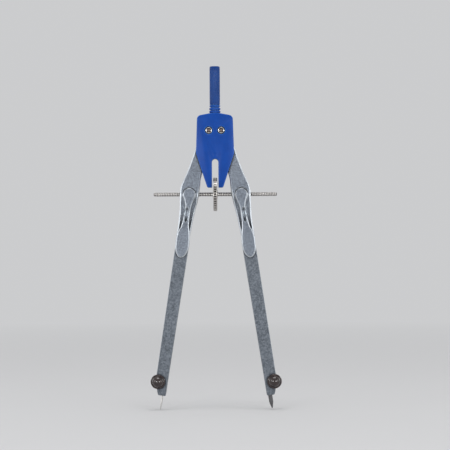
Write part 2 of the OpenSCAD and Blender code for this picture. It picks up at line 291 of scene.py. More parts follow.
class Bench:
    """Edit-mode tools that the pieces are shaped with, in millimetres."""

    @staticmethod
    def clear() -> None:
        """Leaves edit mode and deselects everything."""
        if bpy.context.object and bpy.context.object.mode != "OBJECT":
            bpy.ops.object.mode_set(mode="OBJECT")
        bpy.ops.object.select_all(action="DESELECT")

    @staticmethod
    def take(piece: Piece) -> None:
        """Makes a piece the only selected and active one.

        Args:
            piece: The piece.
        """
        Bench.clear()
        piece.select_set(True)
        bpy.context.view_layer.objects.active = piece

    @staticmethod
    def made(name: str) -> Piece:
        """Names the object that an operator has just added.

        Args:
            name: Its name.

        Returns:
            The object.
        """
        piece = bpy.context.object
        piece.name = piece.data.name = name
        return piece

    @staticmethod
    def close(piece: Piece) -> None:
        """Merges doubles and turns every face outwards.

        Args:
            piece: The piece.
        """
        Bench.take(piece)
        bpy.ops.object.mode_set(mode="EDIT")
        bpy.ops.mesh.select_all(action="SELECT")
        bpy.ops.mesh.remove_doubles(threshold=0.0005)
        bpy.ops.mesh.normals_make_consistent(inside=False)
        bpy.ops.object.mode_set(mode="OBJECT")

    @staticmethod
    def pick_edges(piece: Piece, wanted: Callable[[bmesh.types.BMEdge], bool]) -> None:
        """Selects a piece's edges by their place, in edit mode.

        Args:
            piece: The piece, which is in edit mode.
            wanted: Says whether an edge is selected.
        """
        bpy.ops.mesh.select_mode(type="EDGE")
        bpy.ops.mesh.select_all(action="DESELECT")
        mesh = bmesh.from_edit_mesh(piece.data)
        for edge in mesh.edges:
            edge.select = wanted(edge)
        mesh.select_flush_mode()
        bmesh.update_edit_mesh(piece.data)

    @staticmethod
    def plate(name: str, outline: Sequence[Point], front: float, back: float,
              bevels: dict[Level, float], steps: int = 3) -> Piece:
        """Cuts a plate from its outline and bevels its rims.

        Args:
            name: The piece's name.
            outline: The plate's outline as x and z.
            front: Level of its front face.
            back: Level of its back face.
            bevels: Width of the bevel along a rim.
            steps: Faces across each bevel.

        Returns:
            The plate.
        """
        Bench.clear()
        bpy.ops.mesh.primitive_circle_add(vertices=len(outline), fill_type="NGON")
        piece = Bench.made(name)
        for vertex, (x, z) in zip(piece.data.vertices, outline):
            vertex.co = (x, front, z)
        bpy.ops.object.mode_set(mode="EDIT")
        bpy.ops.mesh.select_all(action="SELECT")
        bpy.ops.mesh.extrude_region_move(TRANSFORM_OT_translate={"value": (0, back - front, 0)})
        bpy.ops.mesh.select_all(action="SELECT")
        bpy.ops.mesh.normals_make_consistent(inside=False)
        levels = {Level.FRONT: front, Level.BACK: back}
        for level, width in bevels.items():
            y = levels[level]
            Bench.pick_edges(piece, lambda e: all(abs(v.co.y - y) < 1e-4 for v in e.verts))
            bpy.ops.mesh.bevel(offset=width, segments=steps, profile=0.5, affect="EDGES")
        bpy.ops.object.mode_set(mode="OBJECT")
        Bench.close(piece)
        return piece

    @staticmethod
    def lathe(name: str, profile: Sequence[Point], centre: Vector, axis: Vector, steps: int = 64,
              ring: bool = False, shape: Reshape | None = None) -> Piece:
        """Turns a profile about an axis.

        Args:
            name: The piece's name.
            profile: Pairs of radius and distance along the axis.
            centre: A point on the axis.
            axis: The axis' direction.
            steps: Facets around.
            ring: Whether the profile is a closed loop clear of the axis.
            shape: Gives a new radius from angle, radius and distance, for ribs and threads.

        Returns:
            The turned piece.
        """
        along = axis.normalized()
        out = along.cross(Y_AXIS)
        out = out.normalized() if out.length > 0.1 else X_AXIS
        third = along.cross(out)
        Bench.clear()
        bpy.ops.mesh.primitive_circle_add(vertices=len(profile), fill_type="NOTHING")
        piece = Bench.made(name)
        for vertex, (radius, distance) in zip(piece.data.vertices, profile):
            vertex.co = centre + out * radius + along * distance
        bpy.ops.object.mode_set(mode="EDIT")
        if not ring:
            ends = {0, len(profile) - 1}
            Bench.pick_edges(piece, lambda e: {v.index for v in e.verts} == ends)
            bpy.ops.mesh.delete(type="EDGE")
        bpy.ops.mesh.select_all(action="SELECT")
        bpy.ops.mesh.spin(steps=steps, angle=2 * math.pi, center=centre, axis=along)
        Bench.close(piece)
        if shape:
            co = np.empty(len(piece.data.vertices) * 3)
            piece.data.vertices.foreach_get("co", co)
            rel = co.reshape(-1, 3) - np.array(centre)
            u, v, w = rel @ np.array(out), rel @ np.array(third), rel @ np.array(along)
            radius = np.hypot(u, v)
            angle = np.arctan2(v, u)
            factor = shape(angle, radius, w) / np.maximum(radius, 1e-9)
            factor = np.where(radius < 1e-6, 1, factor)
            new = (np.outer(u * factor, out) + np.outer(v * factor, third)
                   + np.outer(w, along) + np.array(centre))
            piece.data.vertices.foreach_set("co", new.ravel())
            Bench.close(piece)
        return piece

    @staticmethod
    def bar(place: Point, radius: float, front: float, back: float, steps: int = 48) -> Piece:
        """Adds a round bar along Y, to cut with.

        Args:
            place: Its middle line's x and z.
            radius: Its radius.
            front: Its least y.
            back: Its greatest y.
            steps: Facets around.

        Returns:
            The bar.
        """
        Bench.clear()
        bpy.ops.mesh.primitive_cylinder_add(
            vertices=steps, radius=radius, depth=back - front,
            location=(place[0], (front + back) / 2, place[1]), rotation=(math.pi / 2, 0, 0))
        piece = Bench.made("bar")
        bpy.ops.object.transform_apply(location=True, rotation=True, scale=True)
        return piece

    @staticmethod
    def prism(outline: Sequence[Point], half: float) -> Piece:
        """Adds a plain prism between y = -half and y = half, to cut with."""
        return Bench.plate("prism", outline, -half, half, {})

    @staticmethod
    def combine(piece: Piece, tool: Piece, operation: str = "DIFFERENCE") -> None:
        """Cuts a tool out of a piece, or joins it on, and removes the tool.

        Args:
            piece: The piece that changes.
            tool: The solid to cut with or to join.
            operation: DIFFERENCE or UNION.
        """
        modifier = piece.modifiers.new("combine", "BOOLEAN")
        modifier.operation = operation
        modifier.solver = "MANIFOLD"
        modifier.object = tool
        Bench.take(piece)
        bpy.ops.object.modifier_apply(modifier=modifier.name)
        bpy.data.objects.remove(tool)

    @staticmethod
    def mirrored(piece: Piece, name: str, across: int = 0) -> Piece:
        """Copies a piece to the other side.

        Args:
            piece: The piece, already in metres.
            name: The copy's name.
            across: Axis that changes sign: 0 for x, 1 for y.

        Returns:
            The copy, with its own mesh.
        """
        Bench.take(piece)
        bpy.ops.object.duplicate(linked=False)
        copy = Bench.made(name)
        factors = [-1 if i == across else 1 for i in range(3)]
        copy.data.transform(Matrix.Diagonal((*factors, 1)))
        copy.data.flip_normals()
        return copy

    @staticmethod
    def flipped(piece: Piece, name: str) -> Piece:
        """Puts a piece's mirror image in its stead.

        Args:
            piece: The piece, which is removed.
            name: The image's name.

        Returns:
            The image, on the other side.
        """
        copy = Bench.mirrored(piece, name)
        bpy.data.objects.remove(piece)
        return copy

    @staticmethod
    def settle(piece: Piece, angle: float) -> Piece:
        """Brings a piece to metres and smooths it.

        Args:
            piece: The piece, in millimetres.
            angle: Edges flatter than this many degrees are smoothed.

        Returns:
            The piece.
        """
        Bench.take(piece)
        bpy.ops.transform.resize(value=(MM, MM, MM), center_override=(0, 0, 0))
        bpy.ops.object.transform_apply(location=True, rotation=True, scale=True)
        bpy.ops.object.shade_smooth_by_angle(angle=math.radians(angle))
        return piece


# ---- Shader maths ----


class Wire:
    """A shader value that takes part in sums."""

    def __init__(self, tree: bpy.types.NodeTree, socket: bpy.types.NodeSocket) -> None:
        """Keeps the output socket and the tree that it is in."""
        self.tree = tree
        self.socket = socket

    def math(self, operation: str, first: Any, second: Any = 0.0) -> "Wire":
        """Adds a Math node.

        Args:
            operation: The node's operation.
            first: First value or wire.
            second: Second value or wire.

        Returns:
            Its result.
        """
        node = self.tree.nodes.new("ShaderNodeMath")
        node.operation = operation
        for socket, value in zip(node.inputs, (first, second)):
            feed(self.tree, socket, value)
        return Wire(self.tree, node.outputs[0])

    def __add__(self, other: Any) -> "Wire":
        """Adds."""
        return self.math("ADD", self, other)

    __radd__ = __add__

    def __sub__(self, other: Any) -> "Wire":
        """Subtracts."""
        return self.math("SUBTRACT", self, other)

    def __rsub__(self, other: Any) -> "Wire":
        """Subtracts this from another."""
        return self.math("SUBTRACT", other, self)

    def __mul__(self, other: Any) -> "Wire":
        """Multiplies."""
        return self.math("MULTIPLY", self, other)

    __rmul__ = __mul__

    def size(self) -> "Wire":
        """Drops the sign."""
        return self.math("ABSOLUTE", self)

    def root(self) -> "Wire":
        """Takes the square root."""
        return self.math("SQRT", self)

    def held(self) -> "Wire":
        """Keeps the value between 0 and 1."""
        return self.math("MINIMUM", self.math("MAXIMUM", self, 0.0), 1.0)

    def step(self, low: float, high: float) -> "Wire":
        """Rises from 0 at low to 1 at high."""
        return ((self - low) * (1 / (high - low))).held()


def feed(tree: bpy.types.NodeTree, socket: bpy.types.NodeSocket, value: Any) -> None:
    """Gives a socket a value or a link.

    Args:
        tree: The tree that the socket is in.
        socket: The input.
        value: A wire, an output socket, a number, a colour or a vector.
    """
    if isinstance(value, Wire):
        tree.links.new(value.socket, socket)
    elif isinstance(value, bpy.types.NodeSocket):
        tree.links.new(value, socket)
    elif socket.type == "RGBA":
        socket.default_value = (*value[:3], 1.0)
    else:
        socket.default_value = value


class Shader:
    """One material and the nodes that make it."""

    def __init__(self, name: str) -> None:
        """Starts a material with an empty tree.

        Args:
            name: The material's name.
        """
        self.material = bpy.data.materials.new(name)
        self.material.use_nodes = True
        self.tree = self.material.node_tree
        self.tree.nodes.clear()
        place = self.node("ShaderNodeTexCoord").outputs["Object"]
        self.place = self.node("ShaderNodeVectorMath", {"operation": "SCALE"},
                               {0: place, "Scale": 1 / MM}).outputs[0]

    def node(self, kind: str, settings: dict[str, Any] | None = None,
             sockets: dict[Any, Any] | None = None) -> bpy.types.Node:
        """Adds a node.

        Args:
            kind: The node's type.
            settings: Its settings, such as an operation.
            sockets: Values or links of its inputs, by name or place.

        Returns:
            The node.
        """
        node = self.tree.nodes.new(kind)
        for key, value in (settings or {}).items():
            setattr(node, key, value)
        for key, value in (sockets or {}).items():
            feed(self.tree, node.inputs[key], value)
        return node

    def wire(self, socket: bpy.types.NodeSocket) -> Wire:
        """Wraps an output."""
        return Wire(self.tree, socket)

    def stretched(self, factors: Colour) -> bpy.types.NodeSocket:
        """Scales the place in millimetres by a factor along each axis."""
        return self.node("ShaderNodeVectorMath", {"operation": "MULTIPLY"},
                         {0: self.place, 1: factors}).outputs[0]

    def noise(self, size: float, detail: float = 2.0, roughness: float = 0.5,
              factors: Colour = (1, 1, 1)) -> Wire:
        """Makes cloudy noise.

        Args:
            size: Width of a cloud in millimetres.
            detail: Number of finer layers.
            roughness: Strength of the finer layers.
            factors: Stretch along each axis.

        Returns:
            The noise, around 0.5.
        """
        node = self.node("ShaderNodeTexNoise", {}, {
            "Vector": self.stretched(factors), "Scale": 1 / size, "Detail": detail,
            "Roughness": roughness})
        return self.wire(node.outputs[0])

    def mix(self, factor: Any, first: Any, second: Any) -> bpy.types.NodeSocket:
        """Mixes two colours by a factor."""
        node = self.node("ShaderNodeMix", {"data_type": "RGBA"}, {0: factor, 6: first, 7: second})
        return node.outputs[2]

    def edge(self, radius: float, gain: float) -> Wire:
        """Finds edges.

        Args:
            radius: Width of the band at an edge, in millimetres.
            gain: How fast the band fills.

        Returns:
            A mask, 1 at edges and 0 on flat and gently curved faces.
        """
        rounded = self.node("ShaderNodeBevel", {"samples": 4}, {"Radius": radius * MM}).outputs[0]
        flat = self.node("ShaderNodeNewGeometry").outputs["Normal"]
        dot = self.node("ShaderNodeVectorMath", {"operation": "DOT_PRODUCT"}, {0: rounded, 1: flat})
        return ((1 - self.wire(dot.outputs["Value"])) * gain).held()

    def slope(self) -> Wire:
        """Finds chamfers, which lean away from the Y axis.

        Returns:
            A mask, 1 on chamfers and 0 on fronts and side walls.
        """
        normal = self.node("ShaderNodeTexCoord").outputs["Normal"]
        facing = self.wire(self.node("ShaderNodeSeparateXYZ", {}, {0: normal}).outputs[1])
        lean = 1 - facing.size()
        return lean.step(0.05, 0.16) * (1 - lean.step(0.62, 0.85))

    def hollow(self, distance: float) -> Wire:
        """Finds hollows and seams, up to 1 in the closest, within a distance in millimetres."""
        node = self.node("ShaderNodeAmbientOcclusion", {"samples": 6}, {"Distance": distance * MM})
        return 1 - self.wire(node.outputs["AO"])

    def bump(self, height: Any, depth: float, strength: float) -> bpy.types.NodeSocket:
        """Makes relief from a height.

        Args:
            height: The height, 0 to 1.
            depth: Its depth in millimetres.
            strength: Share of it that shows.

        Returns:
            The normal.
        """
        node = self.node("ShaderNodeBump", {}, {
            "Height": height, "Distance": depth * MM, "Strength": strength})
        return node.outputs[0]

    def finish(self, sockets: dict[str, Any]) -> bpy.types.Material:
        """Closes the material with its surface shader.

        Args:
            sockets: Values or links of the Principled shader's inputs.

        Returns:
            The material.
        """
        surface = self.node("ShaderNodeBsdfPrincipled", {}, sockets)
        self.node("ShaderNodeOutputMaterial", {}, {"Surface": surface.outputs[0]})
        return self.material


# ---- Finishes ----


@dataclass(frozen=True)
class Finish:
    """A finish: its material's name, the record's slot that it fills and its main colour."""

    name: str
    slot: str
    colour: Colour

    def material(self) -> bpy.types.Material:
        """Makes the finish's material, in each kind's own way."""
        raise NotImplementedError


@dataclass(frozen=True)
class Lacquer(Finish):
    """Satin blue lacquer over metal, with fine orange peel, pale dust specks, edges made paler as
    wear and painted highlight, and painted shade in hollows.
    """

    deep: Colour
    # Pale colour for dust specks, rubbed edges and the painted highlight along edges.
    pale_wear_and_highlight: Colour
    roughness: float = 0.36
    lines: bool = False
    # Colour of the painted shade in hollows and seams.
    hollow_shade: Colour = (0.004, 0.008, 0.03)

    def material(self) -> bpy.types.Material:
        """Makes the lacquer's material.

        Returns:
            The material.
        """
        shader = Shader(self.name)
        cloud = shader.noise(6.0, 3.0, 0.55)
        peel = shader.noise(0.35, 2.0, 0.5)
        dust = shader.noise(0.12, 1.0, 0.5).step(0.62, 0.75)
        edge = shader.edge(0.5, 7.0)
        # Edges turn paler: partly rubbed wear, partly a painted highlight on the bevels.
        edge_wear_and_highlight = (edge * (0.55 + shader.noise(0.9, 3.0, 0.7) * 0.9)).held()
        # Painted shade: hollows and seams found by ambient occlusion are darkened.
        hollow_shade = shader.hollow(0.8).step(0.15, 0.8)
        tone = shader.mix(cloud.step(0.35, 0.65), self.deep, self.colour)
        tone = shader.mix(dust * 0.12, tone, self.pale_wear_and_highlight)
        tone = shader.mix(edge_wear_and_highlight * 0.8, tone, self.pale_wear_and_highlight)
        tone = shader.mix(hollow_shade * 0.7, tone, self.hollow_shade)
        rough = self.roughness + (cloud - 0.5) * 0.06 + dust * 0.08 - edge_wear_and_highlight * 0.06
        height = peel
        if self.lines:
            height = peel * 0.3 + shader.noise(0.16, 2.0, 0.5, (1, 1, 0.02)) * 0.7
        return shader.finish({
            "Base Color": tone, "Roughness": rough, "Metallic": 0.0, "IOR": 1.45,
            "Specular IOR Level": 0.16, "Coat Weight": 0.05, "Coat Roughness": 0.2,
            "Normal": shader.bump(height, 0.03, 0.5)})


@dataclass(frozen=True)
class CastMetal(Finish):
    """Tumbled die-cast metal: fine speckled grain, edges and chamfers made paler as polish and
    painted highlight, and painted shade in hollows.
    """

    deep: Colour
    # Colour of edges and chamfers: polished metal and painted highlight.
    bright: Colour
    roughness: float
    grain: float = 0.55
    # Colour of the painted shade in hollows, seams and under raised rims.
    hollow_shade: Colour = (0.025, 0.028, 0.036)

    def material(self) -> bpy.types.Material:
        """Makes the metal's material.

        Returns:
            The material.
        """
        shader = Shader(self.name)
        cloud = shader.noise(7.0, 3.0, 0.6)
        speckle = shader.noise(self.grain, 2.0, 0.7)
        fine = shader.noise(0.2, 2.0, 0.6)
        pits = shader.noise(0.5, 3.0, 0.7).step(0.64, 0.74)
        # Edges and chamfers that lean away from the Y axis are painted bright: partly polish,
        # partly a painted highlight.
        edge = (shader.edge(0.4, 6.0) + shader.slope()).held()
        grain = (speckle - 0.5) * 3.2 + (fine - 0.5) * 2.4 + (cloud - 0.5) * 0.5
        # Painted shade: hollows, seams and the strip under raised rims are darkened, found by
        # ambient occlusion.
        hollow_shade = (shader.hollow(1.2).step(0.1, 0.5) + shader.hollow(0.45).step(0.1, 0.42)).held()
        # Painted highlight on edges and chamfers, kept out of the painted shade.
        polish_and_highlight = (edge * (1 - hollow_shade) * (0.6 + speckle * 0.5)).held()
        tone = shader.mix((grain + 0.5).held(), self.deep, self.colour)
        tone = shader.mix(pits * 0.3, tone, self.deep)
        tone = shader.mix(hollow_shade * 0.85, tone, self.hollow_shade)
        tone = shader.mix(polish_and_highlight, tone, self.bright)
        uneven = (speckle - 0.5) * 0.25 + (cloud - 0.5) * 0.15 + hollow_shade * 0.2 - edge * 0.08
        return shader.finish({
            "Base Color": tone, "Roughness": self.roughness + uneven, "Metallic": 0.85,
            "IOR": 1.5, "Normal": shader.bump(speckle * 0.5 + fine * 0.5, 0.05, 0.6)})


@dataclass(frozen=True)
class TurnedSteel(Finish):
    """Bright turned steel with fine tool marks, cloudy tarnish and a painted highlight on its
    edges.
    """

    deep: Colour
    roughness: float = 0.24
    marks: Colour = (1, 1, 1)
    shine: Colour = (0.9, 0.9, 0.9)

    def material(self) -> bpy.types.Material:
        """Makes the steel's material.

        Returns:
            The material.
        """
        shader = Shader(self.name)
        marks = shader.noise(0.12, 2.0, 0.6, self.marks)
        cloud = shader.noise(1.6, 3.0, 0.6)
        edge = shader.edge(0.15, 4.0)
        tone = shader.mix((cloud * 0.8 + marks * 0.4).held(), self.deep, self.colour)
        # Painted highlight: edges are mixed towards a pale shine colour.
        tone = shader.mix(edge * 0.5, tone, self.shine)
        rough = self.roughness + (marks - 0.5) * 0.12 + (cloud - 0.5) * 0.12
        return shader.finish({
            "Base Color": tone, "Roughness": rough, "Metallic": 1.0,
            "Normal": shader.bump(marks, 0.01, 0.4)})


@dataclass(frozen=True)
class SteelWithPaintedRecess(Finish):
    """Turned steel painted another colour within a radius of its axis: painted shade between a
    wheel's ribs and in a thread, a painted brown reflection in a rivet's cups, plus painted edge
    highlight and hollow shade.
    """

    # Colour painted inside the radius: shade in grooves, a brown reflection in cups.
    recess_shade_and_reflection: Colour
    axis: int
    centre: Point
    radius: float
    reach: float = 100.0
    roughness: float = 0.2
    shine: Colour = (0.92, 0.92, 0.9)
    # Colour of the painted shade in hollows and seams.
    hollow_shade: Colour = (0.03, 0.03, 0.03)

    def material(self) -> bpy.types.Material:
        """Makes the steel's material.

        Returns:
            The material.
        """
        shader = Shader(self.name)
        split = shader.node("ShaderNodeSeparateXYZ", {}, {0: shader.place}).outputs
        x, y, z = (shader.wire(split[i]) for i in range(3))
        x = x.size()
        across, along = (y, x) if self.axis == 0 else (x, y)
        across, up = across - self.centre[0], z - self.centre[1]
        radius = (across * across + up * up).root()
        within = 1 - along.step(self.reach, self.reach + 0.08)
        # Inside the radius: painted shade in grooves between ribs and threads, a painted reflection
        # in rivet cups.
        recess_shade_and_reflection_mask = (1 - radius.step(self.radius - 0.1, self.radius + 0.02)) * within
        marks = shader.noise(0.2, 3.0, 0.6)
        edge = shader.edge(0.12, 3.0)
        # Painted highlight on edges, mixed with the real tool marks.
        tone = shader.mix((marks * 0.4 + edge * 0.4).held(), self.colour, self.shine)
        # Painted shade in hollows and seams, found by ambient occlusion.
        tone = shader.mix(shader.hollow(0.5).step(0.2, 0.9) * 0.7, tone, self.hollow_shade)
        tone = shader.mix(recess_shade_and_reflection_mask * (0.75 + marks * 0.3), tone, self.recess_shade_and_reflection)
        rough = self.roughness + recess_shade_and_reflection_mask * 0.25 + (marks - 0.5) * 0.12
        return shader.finish({
            "Base Color": tone, "Roughness": rough, "Metallic": 1.0,
            "Normal": shader.bump(marks, 0.01, 0.3)})


@dataclass(frozen=True)
class SmokedPlastic(Finish):
    """Glossy moulded plastic, smoky brown, with faint flow clouds, fine scratches and a painted
    highlight on its bevelled rim.
    """

    warm: Colour
    # Paler colour of the painted highlight on the rim's edges.
    pale_wear_and_highlight: Colour = (0.2, 0.16, 0.15)

    def material(self) -> bpy.types.Material:
        """Makes the plastic's material.

        Returns:
            The material.
        """
        shader = Shader(self.name)
        flow = shader.noise(2.4, 4.0, 0.6)
        scratch = shader.noise(0.1, 2.0, 0.7, (0.2, 1, 1.6)).step(0.6, 0.7)
        edge = shader.edge(0.25, 3.0)
        tone = shader.mix(flow.step(0.3, 0.7), self.colour, self.warm)
        # Painted highlight: the rim's edges are mixed towards a paler colour.
        tone = shader.mix(edge * 0.4, tone, self.pale_wear_and_highlight)
        rough = 0.08 + flow * 0.06 + scratch * 0.1
        return shader.finish({
            "Base Color": tone, "Roughness": rough, "Metallic": 0.0, "IOR": 1.5,
            "Coat Weight": 0.3, "Coat Roughness": 0.05,
            "Normal": shader.bump(flow, 0.01, 0.3)})


@dataclass(frozen=True)
class Graphite(Finish):
    """Pencil lead: dark grey with a dull shine and fine streaks along it."""

    deep: Colour

    def material(self) -> bpy.types.Material:
        """Makes the lead's material.

        Returns:
            The material.
        """
        shader = Shader(self.name)
        streaks = shader.noise(0.15, 3.0, 0.6, (1, 1, 0.15))
        crumbs = shader.noise(0.2, 2.0, 0.7)
        tone = shader.mix(streaks.step(0.3, 0.7), self.deep, self.colour)
        rough = 0.38 + (crumbs - 0.5) * 0.3
        return shader.finish({
            "Base Color": tone, "Roughness": rough, "Metallic": 0.35,
            "Normal": shader.bump(streaks * 0.5 + crumbs * 0.5, 0.02, 0.5)})


class Paintbox:
    """All finishes, each made into a material once."""

    def __init__(self, places: Places) -> None:
        """Chooses the finishes.

        Args:
            places: Gives the rivets' and the spindle's place.
        """
        pivot, axle = tuple(places.pivot), (0, places.nut.y)
        wheel_r = node_range("adjusting_wheel", 1)[1]
        rod_r = node_range("spindle", 1)[1]
        self.head = Lacquer("head_lacquer", "head_blue", (0.0015, 0.050, 0.29),
                            deep=(0.001, 0.041, 0.245), pale_wear_and_highlight=(0.05, 0.20, 0.60))
        self.handle = Lacquer("handle_lacquer", "handle_blue", (0.005, 0.039, 0.19),
                              deep=(0.003, 0.029, 0.15), pale_wear_and_highlight=(0.05, 0.16, 0.43), lines=True)
        self.leg = CastMetal("leg_metal", "leg_silver", (0.225, 0.253, 0.295),
                             deep=(0.093, 0.107, 0.13), bright=(0.62, 0.66, 0.70),
                             roughness=0.40)
        # Same leg metal and slot as above, set darker and with dimmer edges: painted shade on the
        # shins.
        self.shin = CastMetal("shin_metal", "leg_silver", (0.160, 0.180, 0.207),
                              deep=(0.062, 0.071, 0.084), bright=(0.26, 0.285, 0.31),
                              roughness=0.44, grain=0.75)
        self.bright = TurnedSteel("bright_steel_turned", "bright_steel", (0.62, 0.62, 0.62),
                                  deep=(0.40, 0.40, 0.41))
        # Same bright steel slot as the pins and washers, set far darker as painted shade, with a
        # painted brown reflection in the cups.
        self.rivet = SteelWithPaintedRecess("rivet_steel", "bright_steel", (0.24, 0.24, 0.25),
                                  recess_shade_and_reflection=(0.13, 0.09, 0.08), axis=1, centre=pivot, radius=0.98)
        # Painted shade between the wheel's ribs.
        self.wheel = SteelWithPaintedRecess("wheel_steel", "spindle_steel", (0.36, 0.335, 0.31),
                                  recess_shade_and_reflection=(0.03, 0.023, 0.022), axis=0, centre=axle,
                                  radius=wheel_r - 0.12, reach=0.52, roughness=0.3)
        # Painted shade in the spindle's thread grooves.
        self.spindle = SteelWithPaintedRecess("spindle_metal", "spindle_steel", (0.52, 0.50, 0.48),
                                    recess_shade_and_reflection=(0.06, 0.05, 0.05), axis=0, centre=axle,
                                    radius=rod_r - 0.06, roughness=0.28)
        self.needle = TurnedSteel("needle_metal", "needle_steel", (0.75, 0.74, 0.72),
                                  deep=(0.48, 0.47, 0.46), roughness=0.2, marks=(1, 1, 0.1))
        self.knob = SmokedPlastic("knob_plastic", "knob_smoke", (0.010, 0.007, 0.007),
                                  warm=(0.032, 0.019, 0.018))
        self.lead = Graphite("lead_graphite", "graphite", (0.12, 0.12, 0.125),
                             deep=(0.05, 0.05, 0.055))
        self.made: dict[str, bpy.types.Material] = {}

    def coat(self, piece: Piece, finish: Finish) -> None:
        """Gives a piece its finish's material.

        Args:
            piece: A new piece or a frame node.
            finish: The finish.
        """
        if finish.name not in self.made:
            self.made[finish.name] = finish.material()
        slots = piece.data.materials
        if len(slots) == 0:
            slots.append(self.made[finish.name])
        for index in range(len(slots)):
            slots[index] = self.made[finish.name]


@dataclass
class Assembly:
    """A group of pieces that is made and fitted together."""

    places: Places
    paints: Paintbox

    def fit(self, piece: Piece, body: str, finish: Finish, node: str) -> None:
        """Dresses a finished piece and hangs it on its body.

        Args:
            piece: The piece, in metres.
            body: The body that it moves with.
            finish: Its finish.
            node: The frame node that it stands for.
        """
        self.paints.coat(piece, finish)
        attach(piece, body)
        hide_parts(node)
        LOG.info("%s rides on %s, %d faces", piece.name, body, len(piece.data.polygons))

    def fit_pair(self, piece: Piece, body: str, finish: Finish, node: str, across: int = 0) -> None:
        """Fits a right or front piece and its mirror image.

        Args:
            piece: The piece, in metres.
            body: The body that it moves with.
            finish: The finish of both.
            node: The frame node that it stands for.
            across: Axis of the mirror: 0 for x, 1 for y.
        """
        copy = Bench.mirrored(piece, opposite(piece.name), across)
        self.fit(piece, body, finish, node)
        self.fit(copy, opposite(body), finish, opposite(node))


# ---- Head ----


